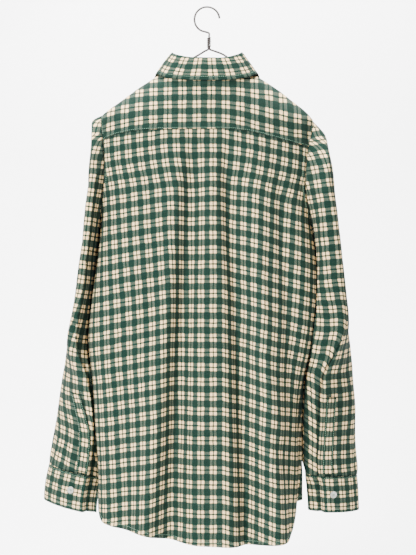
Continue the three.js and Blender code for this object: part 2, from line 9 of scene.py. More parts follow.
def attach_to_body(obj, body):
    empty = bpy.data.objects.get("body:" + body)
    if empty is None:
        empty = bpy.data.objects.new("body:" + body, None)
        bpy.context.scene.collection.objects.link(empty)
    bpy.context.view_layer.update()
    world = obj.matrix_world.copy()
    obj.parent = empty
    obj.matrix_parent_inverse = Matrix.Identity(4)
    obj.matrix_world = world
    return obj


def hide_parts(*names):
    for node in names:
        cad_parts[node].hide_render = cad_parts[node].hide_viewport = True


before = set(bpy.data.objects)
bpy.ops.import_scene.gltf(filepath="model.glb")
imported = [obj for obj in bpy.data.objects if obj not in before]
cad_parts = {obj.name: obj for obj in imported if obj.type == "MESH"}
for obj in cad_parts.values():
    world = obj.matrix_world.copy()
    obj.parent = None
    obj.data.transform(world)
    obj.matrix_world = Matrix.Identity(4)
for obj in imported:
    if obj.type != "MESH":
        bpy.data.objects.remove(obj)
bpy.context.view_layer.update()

SIDES = ("left", "right")
SIGN = {"left": 1, "right": -1}

# Cloth
CLOTH = 1.6
DOUBLE = 2.2
ON_TOP = CLOTH + 0.5

# The check: lengths in metres, and scales of its noises per metre
WARP_REPEAT = 0.0199
WEFT_REPEAT = 0.0234
TWILL_PITCH = 0.0011
DRIFT = 0.0022
PATCH_SCALE = 70.0
FUZZ_SCALE = 620.0
# Its colours, and widths and edges of its stripes as shares of a repeat
GREEN = (0.006, 0.0185, 0.0135, 1)
MIXED = (0.0185, 0.043, 0.035, 1)
CREAM = (0.8, 0.57, 0.285, 1)
DARK = (0.003, 0.009, 0.006, 1)
CREAM_SHARE = 0.53
LINE_SHARE = 0.1
BAND_EDGE = 0.022
LINE_CUT = 0.92
LINE_TINT = 0.12


def columns(names, *rows):
    return dict(zip(names.split(), np.array(rows, float).T))


BODY = columns(
    "drop left right back front square",
    (94, 52, 52, 42, 32, 2), (100, 62, 62, 44, 36, 2), (115, 85, 85, 48, 42, 2),
    (135, 116, 116, 53, 48, 2.05), (155, 143, 142, 57, 52, 2.1), (175, 169, 166, 60, 55, 2.2),
    (190, 177, 175, 62, 58, 2.3), (235, 178, 173, 67, 63, 2.4), (300, 175, 168, 75, 70, 2.5),
    (345, 174, 170, 79, 73, 2.5), (410, 180, 180, 83, 76, 2.5), (465, 187, 183, 85, 78, 2.5),
    (540, 194, 174, 87, 80, 2.5), (620, 187, 160, 88, 81, 2.5), (700, 182, 156, 88, 82, 2.5),
    (780, 178, 157, 88, 82, 2.5), (880, 178, 154, 88, 82, 2.5),
)

# Folds: the drops where each starts and ends, its x at both, the bend of its way between them,
# its height, which is below 0 for a trough, its width, and how soon it grows.
FOLDS = {
    "back": (
        (190, 880, 19, 64, 1.2, -30, 25, 0.34), (200, 880, 44, 94, 1.2, 5, 12, 0.4),
        (190, 880, -31, -70, 1, -32, 26, 0.34), (200, 880, -66, -112, 1, 5, 14, 0.4),
        (215, 880, -112, -150, 0.8, -12, 22, 0.3), (300, 880, 60, 106, 1.4, 10, 19, 0.7),
        (230, 880, -76, -112, 1, 6, 22, 0.5), (380, 880, 128, 138, 1, -6, 20, 0.4),
        (520, 800, -50, -138, 1, -6, 15, 0.5), (250, 640, 92, 84, 1, -4, 20, 0.3),
    ),
    "front": (
        (230, 880, 74, 62, 1, -20, 27, 0.6), (260, 880, 118, 112, 1, 11, 22, 0.6),
        (230, 880, -78, -66, 1, -18, 26, 0.6), (250, 880, -122, -108, 1, 12, 22, 0.6),
        (420, 880, 150, 140, 1, -5, 18, 0.5), (480, 840, -48, -112, 1, -5, 15, 0.5),
    ),
}
FOLD_END = 880
FOLD_EASE = 120
STEEP_FROM = -8
STEEP_SIDE, GENTLE_SIDE = 0.8, 1.06
RIPPLE_GRID = 64

BODY_HALF = 175
SIDE_TURN = 95
ARMHOLE = {
    "left": {"middle": 260, "half": 83, "cap": 11},
    "right": {"middle": 274, "half": 86, "cap": 26},
}
ARM_SPREAD = 24
YOKE_CORNER = 60
YOKE_DROP = 205
YOKE_LEAN = 0.89
YOKE_SEAM = columns(
    "across drop",
    (-1, 231), (-0.81, 228), (-0.65, 224), (-0.46, 217), (-0.3, 210), (-0.15, 206), (0, 205),
    (0.5, 207), (0.7, 211), (0.88, 216), (1, 221),
)
NECK_HALF = 63
YOKE_NECK = 120
NECK = columns(
    "round drop",
    (0, 118), (30, 116.5), (60, 110), (84, 102.6), (90, 101), (96, 103), (106, 108), (120, 123),
    (135, 142), (150, 161), (165, 176), (180, 182),
)
HEM = columns(
    "turn drop",
    (-180, 857), (-150, 852), (-125, 832), (-95, 806), (-75, 853), (-60, 868), (-40, 873), (-20, 876),
    (0, 873), (17, 865), (30, 855), (45, 850), (60, 846), (74, 838), (95, 802), (125, 832), (150, 852),
    (180, 857),
)
PLACKET_HALF = 16
UNDERLAP = CLOTH + 1.4
UNDERLAP_FADE = 45

SLEEVES = {
    "left": columns(
        "drop y long thick turn",
        (190, -2, 44, 19, -4), (260, -10, 62, 16, -6), (340, -24, 80, 15, -6), (430, -32, 80, 15, -4),
        (510, -36, 76, 16, -2), (560, -36, 71, 18, 4), (610, -36, 65, 21, 18), (660, -33, 60, 22, 32),
        (700, -30, 57, 23, 44), (765, -24, 51, 25, 55), (832, -22, 50, 25, 57),
    ),
    "right": columns(
        "drop y long thick turn",
        (190, -2, 44, 20, 0), (260, -10, 62, 20, 0), (340, -24, 79, 21, -2), (430, -32, 79, 24, -2),
        (520, -34, 74, 27, 3), (570, -33, 70, 26, 17), (610, -32, 66, 25, 31), (700, -26, 58, 26, 45),
        (770, -22, 51, 26, 55), (838, -20, 50, 25, 56),
    ),
}
# The outline of each sleeve, away from the body.
OUTLINE = {
    "left": columns(
        "drop x",
        (190, 190), (240, 190.5), (290, 193.5), (335, 198), (382, 203.5), (429, 209.5), (476, 217),
        (522, 226), (569, 239.5), (616, 246.8), (663, 251), (709, 256.2), (756, 263.4), (803, 272),
        (835, 274),
    ),
    "right": columns(
        "drop x",
        (190, 192), (242, 202), (289, 207.5), (335, 213.5), (382, 218.5), (429, 223.5), (476, 230),
        (522, 239), (569, 246.4), (616, 248.4), (709, 250.6), (756, 250.6), (803, 253.6), (838, 255),
    ),
}
SLEEVE_CLEAR = 2.6
CAP_REACH = 42
SLEEVE_EASE = 0.885
FULLER = {"left": 0.8, "right": 1.0}
SQUARE_INSIDE = {"left": -0.85, "right": 1.2}
SLEEVE_SEED = {"left": 11, "right": 15}
GRAIN_CORNER = {"left": 54, "right": 46}
GRAIN_SWING = {"left": 52, "right": 34}
# Past an edge on the sleeve's back the cloth sinks in beside the body.
HOLLOW = {
    "left": {"high": 90, "low": 53, "start": 540, "end": 640, "depth": 17, "ease": 6, "groove": 0},
    "right": {"high": 47, "low": 44, "start": 500, "end": 620, "depth": 9, "ease": 5, "groove": 4},
}
GRAIN_TOP = {"left": 179.7, "right": 186.7}
CUFF_LAP = 30
CUFFS = {
    "left": {"top": 766, "bottom": 825, "tilt": 0.2, "over": 53, "button": 793},
    "right": {"top": 772, "bottom": 831, "tilt": -0.05, "over": 44, "button": 801},
}
CUFF_BUTTON = 24
STRIP = {"high": 126, "left": (52, 26), "right": (43, 21)}

STAND = columns("round high", (0, 26.5), (60, 25), (90, 23.5), (130, 26), (180, 28))
STAND_LEAN = 0.26
STAND_LAP = 12
STAND_OUT = -0.4
LEAF_END = 168
LEAF_BEND = {"back": 3.5, "front": 13, "up": 1.5}
LEAF_LIFT = 4.2
LEAF = columns(
    "round across drop",
    (0, 0, 127), (30, 40, 126), (60, 70, 120.5), (90, 84, 114.5), (115, 86, 136), (140, 70, 182),
    (156, 51, 213), (168, 36, 225),
)
FRONT_BUTTONS = (240, 328, 416, 504, 592, 680, 768)
COLLAR_BUTTON_UP = 13
# A button's profile: distances from its middle and heights.
BUTTON_PROFILE = (
    (0.0, 0.55), (3.3, 0.62), (3.9, 0.95), (4.5, 1.5), (5.1, 1.62),
    (5.6, 1.3), (5.75, 0.7), (5.5, 0.1), (4.6, -0.25), (0.0, -0.3),
)
HOLE_OUT = 1.25
HOLE_RADIUS = 0.62

WIRE = 1.7
HOOK_RADIUS = 19
NECK_X = -3.3
HANGER_LEFT = ((-2.6, 64.5), (-1.9, 68.1), (4, 71.5), (14, 77.6))
HANGER_RIGHT = ((-4.0, 64.5), (-4.7, 68.1), (-12, 71), (-28, 77.6))
ARM_END = 159
ARM_BELOW = CLOTH + WIRE + 1.5
HANGER_BAR = 214
TWIST_TOP = 48
TWIST_BOTTOM = 66
TWIST_TURNS = 4.5
TWIST_OUT = 2.35
TWIST_WIRE = 1.35

# Sewing: distances from an edge, and a stitch's pitch, rise and half sizes.
HEM_SEWING = 6.4
ARM_SEWING = 7
EDGE_SEWING = 6
STITCH_PITCH = 3.2
STITCH_RISE = 0.12
STITCH_HALF = (1.25, 0.32, 0.3)

# Grids
BACK_COLUMNS = 170
SEAM_ROWS = 150
ARM_ROWS = 52
UV_STEP = 4.0
FAR = 99

# Camera, light and stage, in metres
MM = 0.001
CAMERA_X = -1.65 * MM
CAMERA_DISTANCE = 2.4
EYE_DROP = 0.4447
LENS = 94.35
FLOOR = -1.05
SWEEP_LENGTH = 7.2
SWEEP_HALF = 1.7
SWEEP_NEAR = 2.4
SWEEP_FLOOR = 3.6
SWEEP_BEND = 1.0
ROOM_LIGHT = 0.16
ROOM_SEEN = 4.0


def lerp(a, b, t):
    return a + (b - a) * t


def smooth(value, low, high):
    t = np.clip((value - low) / (high - low), 0, 1)
    return t * t * (3 - 2 * t)


def plateau(value, low, full, fading, end):
    """Rises from 0 to 1 between low and full, and falls to 0 between fading and end."""
    return smooth(value, low, full) * (1 - smooth(value, fading, end))


def between(grid, i, j, s, t):
    """A value among the four neighbours of a place in a grid."""
    low = lerp(grid[i, j], grid[i + 1, j], s)
    high = lerp(grid[i, j + 1], grid[i + 1, j + 1], s)
    return lerp(low, high, t)


def along(table, column, value):
    """A smooth curve through one column of a table, read at values of its first column."""
    x, y = next(iter(table.values())), table[column]
    last = len(x) - 1
    value = np.clip(value, x[0], x[-1])
    i = np.clip(np.searchsorted(x, value, side="right") - 1, 0, last - 1)

    def slope(k):
        before, after = np.maximum(k - 1, 0), np.minimum(k + 1, last)
        return (y[after] - y[before]) / (x[after] - x[before])

    span = x[i + 1] - x[i]
    t = (value - x[i]) / span
    start = (1 + 2 * t) * (1 - t) ** 2 * y[i] + t * (1 - t) ** 2 * span * slope(i)
    return start + t * t * (3 - 2 * t) * y[i + 1] + t * t * (t - 1) * span * slope(i + 1)


def power(value, exponent):
    return np.sign(value) * np.abs(value) ** exponent


def body(column, drop):
    return along(BODY, column, drop)


def tube(turn, drop):
    """The smooth tube of the body, without folds."""
    turn, drop = np.broadcast_arrays(np.asarray(turn, float), np.asarray(drop, float))
    s, c = np.sin(np.radians(turn)), np.cos(np.radians(turn))
    exponent = 2 / body("square", drop)
    half = np.where(s >= 0, body("left", drop), body("right", drop))
    deep = np.where(c >= 0, body("back", drop), body("front", drop))
    return np.stack([half * power(s, exponent), deep * power(c, exponent), -drop], -1)


def unit(vectors):
    return vectors / np.maximum(np.linalg.norm(vectors, axis=-1, keepdims=True), 1e-9)


def ripple(x, z, seed, wide, tall):
    """Soft uneven hills between -1 and 1, about wide by tall millimetres each."""
    grid = np.random.RandomState(seed).uniform(-1, 1, (RIPPLE_GRID, RIPPLE_GRID))
    u, v = x / wide + 31.3, z / tall + 7.7
    i, j = np.floor(u).astype(int), np.floor(v).astype(int)
    s, t = u - i, v - j
    s, t = s * s * (3 - 2 * s), t * t * (3 - 2 * t)
    return between(grid, i % (RIPPLE_GRID - 1), j % (RIPPLE_GRID - 1), s, t)


def folds(x, drop, face):
    """How far the folds stand out of one face of the body."""
    depth = np.zeros_like(x)
    for k, (start, end, first, last, bend, high, wide, grow) in enumerate(FOLDS[face]):
        t = np.clip((drop - start) / (FOLD_END - start), 0, 1)
        share = np.clip((drop - start) / (end - start), 0, 1)
        onset = smooth(drop, start, start + FOLD_EASE)
        fade = 1 if end >= FOLD_END else 1 - smooth(drop, end - FOLD_EASE, end)
        centre = lerp(first, last, share**bend)
        centre = centre + 3 * ripple(drop * 0, drop, 40 + k, 50, 90)
        width = wide * (0.65 + 0.35 * t) * (1 + 0.12 * ripple(drop * 0, drop, 60 + k, 50, 120))
        if high < STEEP_FROM:
            width = width * np.where(x > centre, STEEP_SIDE, GENTLE_SIDE)
        depth += onset * fade * high * t**grow * np.exp(-(((x - centre) / width) ** 2))
    seed = 3 if face == "back" else 5
    settle = smooth(drop, 190, 330)
    depth += settle * 1.5 * ripple(x, drop, seed, 38, 190)
    depth += (0.25 + 0.75 * settle) * 0.5 * ripple(x, drop, seed + 1, 17, 60)
    return depth


def cloth(turn, drop, lift=0.0):
    """Points of the body's cloth, with its folds, moved out by lift."""
    point = tube(turn, drop)
    across = tube(turn + 1.5, drop) - tube(turn - 1.5, drop)
    down = tube(turn, drop + 1) - tube(turn, drop - 1)
    normal = unit(np.cross(across, down))
    drop = -point[..., 2]
    x = point[..., 0]
    back = np.cos(np.radians(turn)) >= 0
    fold = np.where(back, folds(x, drop, "back"), folds(x, drop, "front"))
    return point + normal * (fold + lift)[..., None]


def turn_at(x, drop, front):
    side = np.where(x >= 0, body("left", drop), body("right", drop))
    share = np.minimum(np.abs(x) / side, 1)
    turn = np.degrees(np.arcsin(share ** (body("square", drop) / 2)))
    sign = np.where(x >= 0, 1, -1)
    return sign * np.where(front, 180 - turn, turn)


def armhole(side, turned):
    """The armhole's edge, at angles counted from its top."""
    hole = ARMHOLE[side]
    c, s = np.cos(np.radians(turned)), np.sin(np.radians(turned))
    turn = SIDE_TURN - 2.5 - 2.5 * c - ARM_SPREAD * s
    return np.stack([SIGN[side] * turn, hole["middle"] - hole["half"] * c], -1)


def neck(turned):
    size = np.abs(turned)
    drop = along(NECK, "drop", np.where(size > 180, 360 - size, size))
    x = NECK_HALF * np.sin(np.radians(size))
    near = turn_at(np.abs(x), drop, size > 90)
    turn = np.where(size > 180, 360 - near, near)
    return np.stack([np.where(turned < 0, -1, 1) * turn, drop], -1)


def hem(turn):
    return np.stack([turn, along(HEM, "drop", np.clip(turn, -180, 180))], -1)


def yoke_seam(u):
    """The seam across the back, from the right armhole at -1 to the left one at 1."""
    left, right = (armhole(side, YOKE_CORNER) for side in SIDES)
    corner = np.where((u >= 0)[..., None], left, right)
    drop = along(YOKE_SEAM, "drop", u)
    end = np.where(np.abs(u) >= 1, corner[..., 1], drop)
    ease = smooth(np.abs(u), 0.9, 1)
    return np.stack([np.abs(u) * corner[..., 0], lerp(drop, end, ease)], -1)


def blend(bottom, top, first, last):
    """Fills a grid of (turn, drop) pairs between its four edges."""
    u = np.linspace(0, 1, len(bottom))[:, None, None]
    v = np.linspace(0, 1, len(first))[None, :, None]
    up = lerp(bottom[:, None], top[:, None], v)
    across = lerp(first[None], last[None], u)
    corners = lerp(lerp(bottom[0], top[0], v), lerp(bottom[-1], top[-1], v), u)
    return up + across - corners


def side_edge(side, face):
    """A panel's outer edge: the side seam from the hem up, then its half of the armhole."""
    turn, low = hem(SIGN[side] * SIDE_TURN)
    underarm = armhole(side, 180)[1]
    seam = np.stack([np.full(SEAM_ROWS, turn), np.linspace(low, underarm, SEAM_ROWS + 1)[:-1]], -1)
    corner = YOKE_CORNER if face == "back" else 360 - YOKE_CORNER
    return np.concatenate([seam, armhole(side, np.linspace(180, corner, ARM_ROWS + 1))])


def lattice(across, up):
    """Two grids of values, one even from end to end across and the other up."""
    return np.meshgrid(np.linspace(*across), np.linspace(*up), indexing="ij")


def reach(points, axis):
    """Distance of each point along a grid's columns or rows from both of its ends."""
    step = np.linalg.norm(np.diff(points, axis=axis), axis=-1)
    run = np.concatenate([np.zeros_like(np.take(step, [0], axis)), np.cumsum(step, axis)], axis)
    return run, np.take(run, [-1], axis) - run


def grid_normals(points, outer):
    across = np.gradient(points, axis=0)
    up = np.gradient(points, axis=1)
    normal = unit(np.cross(across, up))
    flip = np.sign(np.sum(normal * (outer - points), -1, keepdims=True))
    return normal * np.where(flip == 0, 1, flip)


def sewn(points, outer, amounts):
    """Moves a grid's points along its outward normals."""
    return points + grid_normals(points, outer) * amounts[..., None]


# Mesh

def add_object(name, data, *materials):
    for material in materials:
        data.materials.append(material)
    made = bpy.data.objects.new(name, data)
    bpy.context.scene.collection.objects.link(made)
    return made


def add_mesh(name, bm, *materials):
    for face in bm.faces:
        face.smooth = True
    mesh = bpy.data.meshes.new(name)
    bm.to_mesh(mesh)
    bm.free()
    return add_object(name, mesh, *materials)


def attach(piece, slot, *nodes):
    """Puts a piece on the part's one body, in place of the nodes that it shows; the slot argument is not
    used.
    """
    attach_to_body(piece, "root")
    if nodes:
        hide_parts(*nodes)
    return piece


def make_piece(name, node, points, outer, uv, thick, material, closed=False):
    """A cloth piece from a grid of points; outer is the same grid moved a little outwards."""
    wide, tall = points.shape[0] - 1, points.shape[1] - 1
    bm = bmesh.new()
    bmesh.ops.create_grid(bm, x_segments=wide, y_segments=tall, size=1)
    mesh = bpy.data.meshes.new(name)
    bm.to_mesh(mesh)
    bm.free()
    flat = np.empty(len(mesh.vertices) * 3)
    mesh.vertices.foreach_get("co", flat)
    i, j = np.rint((flat.reshape(-1, 3)[:, :2] + 1) / 2 * (wide, tall)).astype(int).T
    mesh.vertices.foreach_set("co", (points[i, j] * MM).ravel())
    loops = np.empty(len(mesh.loops), int)
    mesh.loops.foreach_get("vertex_index", loops)
    layer = mesh.uv_layers.new(name="UVMap")
    layer.data.foreach_set("uv", (uv[i, j][loops] * MM).ravel())
    bm = bmesh.new()
    bm.from_mesh(mesh)
    across = points[1:, :-1] - points[:-1, :-1]
    up = points[:-1, 1:] - points[:-1, :-1]
    facing = np.sum(np.cross(across, up) * (outer - points)[:-1, :-1])
    if facing < 0:
        bmesh.ops.reverse_faces(bm, faces=bm.faces[:])
    if closed:
        bmesh.ops.remove_doubles(bm, verts=bm.verts[:], dist=2e-5)
    for face in bm.faces:
        face.smooth = True
    bm.to_mesh(mesh)
    bm.free()
    piece = add_object(name, mesh, material)
    shell = piece.modifiers.new("Wall", "SOLIDIFY")
    shell.thickness = thick * MM
    shell.offset = -1
    shell.use_even_offset = False
    return attach(piece, "flannel", node)


# Sewing

STITCHES = []


def stitch(points, outer, axis, distance, first=0, last=None):
    """Notes a line of sewing at a distance from one edge of a piece's grid, to be made later."""
    both = np.concatenate([points, grid_normals(points, outer)], -1)
    if axis == 0:
        both = np.swapaxes(both, 0, 1)
    if distance < 0:
        both = both[:, ::-1]
    both = both[first:last]
    run = reach(both[..., :3], 1)[0]
    line = [[np.interp(abs(distance), run[k], both[k, :, c]) for c in range(6)] for k in range(len(both))]
    STITCHES.append(np.array(line))


def make_stitches():
    """Each stitch is a small long ball that lies half in the cloth."""
    bm = bmesh.new()
    for line in STITCHES:
        length = reach(line[:, :3], 0)[0]
        for spot in np.arange(STITCH_PITCH, length[-1] - STITCH_PITCH / 2, STITCH_PITCH):
            here, ahead = (
                np.array([np.interp(spot + step, length, line[:, c]) for c in range(6)]) for step in (0, 0.5)
            )
            along_line = Vector(ahead[:3] - here[:3]).normalized()
            up = Vector(here[3:]).normalized()
            side = up.cross(along_line).normalized()
            turn = Matrix((along_line, side, along_line.cross(side))).transposed().to_4x4()
            place = Matrix.Translation(Vector(here[:3]) * MM + up * STITCH_RISE * MM)
            size = Matrix.Diagonal((*(half * MM for half in STITCH_HALF), 1))
            bmesh.ops.create_icosphere(bm, subdivisions=1, radius=1, matrix=place @ turn @ size)
    attach(add_mesh("sewing", bm, THREAD), "flannel")


# Materials

class Tree:
    """Short calls for making and joining shader nodes."""

    def __init__(self, tree):
        self.tree = tree

    def put(self, socket, value):
        if isinstance(value, bpy.types.NodeSocket):
            self.tree.links.new(value, socket)
        else:
            socket.default_value = value

    def fill(self, node, inputs):
        for key, value in inputs.items():
            self.put(node.inputs[key], value)

    def node(self, kind, inputs=None, **settings):
        made = self.tree.nodes.new(kind)
        for key, value in settings.items():
            setattr(made, key, value)
        self.fill(made, inputs or {})
        return made

    def math(self, operation, *values, clamp=False):
        inputs = dict(enumerate(values))
        return self.node("ShaderNodeMath", inputs, operation=operation, use_clamp=clamp).outputs[0]

    def mix(self, factor, a, b, blend_type="MIX"):
        """A mix node's two colours are its inputs 6 and 7, and its output 2."""
        inputs = {0: factor, 6: a, 7: b}
        return self.node("ShaderNodeMix", inputs, data_type="RGBA", blend_type=blend_type).outputs[2]

    def noise(self, vector, scale, detail, roughness=0.5):
        inputs = {"Vector": vector, "Scale": scale, "Detail": detail, "Roughness": roughness}
        return self.node("ShaderNodeTexNoise", inputs).outputs["Fac"]

    def bump(self, shader, height, strength, distance):
        inputs = {"Height": height, "Strength": strength, "Distance": distance}
        self.put(shader.inputs["Normal"], self.node("ShaderNodeBump", inputs).outputs[0])


def new_group(name, inputs, outputs):
    """A group of shader nodes; its inputs and outputs are given by name and kind."""
    tree = bpy.data.node_groups.new(name, "ShaderNodeTree")
    for way, sockets in (("INPUT", inputs), ("OUTPUT", outputs)):
        for label, kind in sockets.items():
            tree.interface.new_socket(name=label, in_out=way, socket_type="NodeSocket" + kind)
    made = Tree(tree)
    return made, made.node("NodeGroupInput").outputs, made.node("NodeGroupOutput")


def band_group():
    """One set of stripes: how much cream and how much dark line at a place across them."""
    t, given, out = new_group(
        "stripe set", {"Place": "Float", "Repeat": "Float"}, {"Cream": "Float", "Line": "Float"}
    )
    across = t.math("DIVIDE", given["Place"], given["Repeat"])
    share = t.math("FRACT", t.math("ADD", across, 50.0))
    off = t.math("ABSOLUTE", t.math("SUBTRACT", share, 0.5))

    def band(half, edge):
        return t.math("DIVIDE", t.math("SUBTRACT", half + edge / 2, off), edge, clamp=True)

    line = band(LINE_SHARE / 2, BAND_EDGE)
    without = t.math("MULTIPLY_ADD", line, -LINE_CUT, 1.0)
    cream = t.math("MULTIPLY", band(CREAM_SHARE / 2, 2 * BAND_EDGE), without)
    t.fill(out, {"Cream": cream, "Line": line})
    return t.tree


def check_group(bands):
    """The woven check: colour and the height of its twill and nap."""
    t, given, out = new_group(
        "woven check",
        {"Cloth": "Vector", "Warp shift": "Float", "Weft shift": "Float"},
        {"Color": "Color", "Height": "Float", "Roughness": "Float"},
    )
    place = given["Cloth"]
    split = t.node("ShaderNodeSeparateXYZ", {0: place}).outputs
    places, sets = [], []
    threads = (("Warp shift", 55.0, WARP_REPEAT), ("Weft shift", 48.0, WEFT_REPEAT))
    for axis, (shift, scale, repeat) in enumerate(threads):
        drift = t.math("MULTIPLY", t.math("SUBTRACT", t.noise(place, scale, 1.0), 0.5), DRIFT)
        moved = t.math("ADD", t.math("ADD", split[axis], given[shift]), drift)
        inputs = {"Place": moved, "Repeat": repeat}
        places.append(moved)
        sets.append(t.node("ShaderNodeGroup", inputs, node_tree=bands).outputs)
    warp, weft = sets
    both = t.math("ADD", warp["Cream"], weft["Cream"])
    twill = t.math("SINE", t.math("MULTIPLY", t.math("ADD", *places), 2 * math.pi / TWILL_PITCH))
    differ = t.math("SUBTRACT", warp["Cream"], weft["Cream"])
    yarn = t.math("MULTIPLY", t.math("MULTIPLY", twill, differ), 0.1)
    share = t.math("ADD", both, yarn)
    color = t.mix(t.math("MINIMUM", share, 1.0, clamp=True), GREEN, MIXED)
    color = t.mix(t.math("SUBTRACT", share, 1.0, clamp=True), color, CREAM)
    lines = t.math("ADD", warp["Line"], weft["Line"])
    color = t.mix(t.math("MULTIPLY", lines, LINE_TINT, clamp=True), color, DARK)
    patch = t.noise(place, PATCH_SCALE, 3.0, 0.6)
    fuzz = t.noise(place, FUZZ_SCALE, 3.0, 0.65)
    shade = t.math("MULTIPLY_ADD", patch, 0.3, 0.82)
    shade = t.math("MULTIPLY", shade, t.math("MULTIPLY_ADD", fuzz, 1.8, 0.04))
    grey = t.node("ShaderNodeCombineColor", {0: shade, 1: shade, 2: shade}).outputs[0]
    color = t.mix(1.0, color, grey, blend_type="MULTIPLY")
    height = t.math("MULTIPLY_ADD", twill, 0.3, fuzz)
    rough = t.math("MULTIPLY_ADD", fuzz, 0.12, 0.86)
    t.fill(out, {"Color": color, "Height": height, "Roughness": rough})
    return t.tree


def new_material(name):
    material = bpy.data.materials.new(name)
    material.use_nodes = True
    return material, Tree(material.node_tree), material.node_tree.nodes["Principled BSDF"]


def flannel(name, turned=False, warp=0.0, weft=0.0):
    """Brushed check flannel; turned cloth is cut across the grain."""
    material, t, shader = new_material(name)
    place = t.node("ShaderNodeUVMap", uv_map="UVMap").outputs[0]
    if turned:
        swap = {"Vector": place, "Rotation": (0, 0, math.pi / 2)}
        place = t.node("ShaderNodeMapping", swap).outputs[0]
    shifts = {"Cloth": place, "Warp shift": warp, "Weft shift": weft}
    check = t.node("ShaderNodeGroup", shifts, node_tree=CHECK).outputs
    t.fill(shader, {"Base Color": check["Color"], "Roughness": check["Roughness"]})
    sheen = {"Sheen Weight": 0.02, "Sheen Roughness": 0.6, "Sheen Tint": (0.9, 0.9, 0.82, 1)}
    t.fill(shader, {"Specular IOR Level": 0.02, **sheen})
    t.bump(shader, check["Height"], 0.35, 0.0006)
    return material


def plain(name, color, roughness, coat=0.0, bump=0.0, scale=400.0, vary=0.1):
    """A material of one colour with fine spots a little darker and lighter."""
    material, t, shader = new_material(name)
    spots = t.noise(t.node("ShaderNodeTexCoord").outputs["Object"], scale, 3.0, 0.6)
    dark = (*(c * (1 - vary) for c in color), 1)
    light = (*(min(c * (1 + vary), 1) for c in color), 1)
    rough = t.math("MULTIPLY_ADD", spots, 0.16, roughness - 0.08)
    t.fill(shader, {"Base Color": t.mix(spots, dark, light), "Roughness": rough, "Coat Weight": coat})
    if bump:
        t.bump(shader, spots, bump, 0.0004)
    return material


CHECK = check_group(band_group())
BODY_CLOTH = flannel("flannel body", weft=0.014)
YOKE_CLOTH = flannel("flannel yoke", turned=True, warp=0.0055, weft=-0.0048)
SLEEVE_CLOTH = flannel("flannel sleeves")
COLLAR_CLOTH = flannel("flannel collar", turned=True, warp=0.003, weft=-0.0035)
CUFF_CLOTH = flannel("flannel cuffs", turned=True)
THREAD = plain("sewing thread", (0.12, 0.22, 0.15), 0.7, scale=3000.0)
SHELL = plain("button shell", (0.3, 0.32, 0.28), 0.3, coat=0.6, scale=260.0, vary=0.45)
LACQUER = plain("hanger lacquer", (0.016, 0.008, 0.006), 0.5, coat=0.1, bump=0.15)


# Edges

def raised(distance, height, width):
    """A doubled edge: the cloth stands a little higher beside a seam or hem."""
    return height * (1 - smooth(distance, width - 1.6, width))


def tucked(distance, width):
    """An edge that is turned in: 1 at the edge and 0 at a width from it."""
    return 1 - smooth(distance, 0, width)


def pressed(edge, width):
    """How far doubled cloth is drawn in by the sewing beside its edge and at the edge."""
    return 0.35 * tucked(np.abs(edge - EDGE_SEWING), width) + 0.5 * tucked(edge, width)


# Body panels

def back_uv(points, domain):
    """Cloth coordinates: along the folded surface from the middle, and down the grain."""
    run = reach(points, 0)[0]
    x, drop = points[..., 0], domain[..., 1]
    middle = np.array([np.interp(0, x[::-1, j], run[::-1, j]) for j in range(x.shape[1])])
    left = np.clip((x - 60) / 115, 0, 1.3) * lerp(15, 23, smooth(drop, 235, 560))
    right = np.clip((-x - 25) / 135, 0, 1.3) * lerp(28, 36, smooth(drop, 235, 420))
    return np.stack([middle[None, :] - run, left + right - drop], -1)


def front_uv(points, domain):
    """Cloth coordinates: along the folded surface from the free edge, and down the grain."""
    x = points[..., 0]
    across = np.sign(x[:1]) * reach(points, 0)[1]
    sag = 14 * smooth(np.abs(x) / BODY_HALF, 0.2, 1)
    return np.stack([across, sag - domain[..., 1]], -1)


def yoke_uv(points, domain):
    """Cloth coordinates: level across the back, and up over the shoulders to the front."""
    surface = tube(domain[..., 0], domain[..., 1])
    drop = domain[..., 1]
    back = np.cos(np.radians(domain[..., 0])) >= 0
    share = np.clip(surface[..., 0] / BODY_HALF, -1, 1)
    sag = (along(YOKE_SEAM, "drop", share) - YOKE_DROP) * smooth(drop, 110, YOKE_DROP)
    slope = np.abs(surface[..., 1]) * 0.62
    rise = np.where(
        back, YOKE_LEAN * (drop - YOKE_DROP - sag), -YOKE_LEAN * (drop - YOKE_DROP) - 2 * slope - 60
    )
    return np.stack([surface[..., 0], -rise], -1)


def body_finish(points, side_run):
    """The hem and the armhole stand up where they are doubled, and the top edge tucks under."""
    low, high = reach(points, 1)
    arm = np.arange(points.shape[1])[None, :] >= SEAM_ROWS
    sides = np.where(arm, side_run, FAR)
    return raised(low, 0.7, 7) + raised(sides, 0.6, 8) - 0.5 * tucked(high, 5)


def back_finish(points):
    return body_finish(points, np.minimum(*reach(points, 0)))


def front_finish(points):
    return body_finish(points, reach(points, 0)[0])


def yoke_finish(points):
    low, front = reach(points, 1)[0], np.minimum(*reach(points, 0))
    return raised(np.minimum(low, front), 0.7, 7)


def make_panel(name, node, domain, material, map_cloth, finish, lift=0.0):
    """A panel of the body on a grid of (turn, drop) pairs."""
    points, outer = (cloth(domain[..., 0], domain[..., 1], lift + more) for more in (0, 1))
    uv = map_cloth(points, domain)
    points = sewn(points, outer, finish(points))
    return make_piece(name, node, points, outer, uv, CLOTH, material), points, outer


def make_back():
    u = np.linspace(1, -1, BACK_COLUMNS + 1)
    edges = (side_edge(side, "back") for side in SIDES)
    domain = blend(hem(u * SIDE_TURN), yoke_seam(u), *edges)
    piece, points, outer = make_panel("back_panel", "back", domain, BODY_CLOTH, back_uv, back_finish)
    stitch(points, outer, 1, HEM_SEWING)
    for inset in (ARM_SEWING, -ARM_SEWING):
        stitch(points, outer, 0, inset, first=SEAM_ROWS + 1)
    return piece


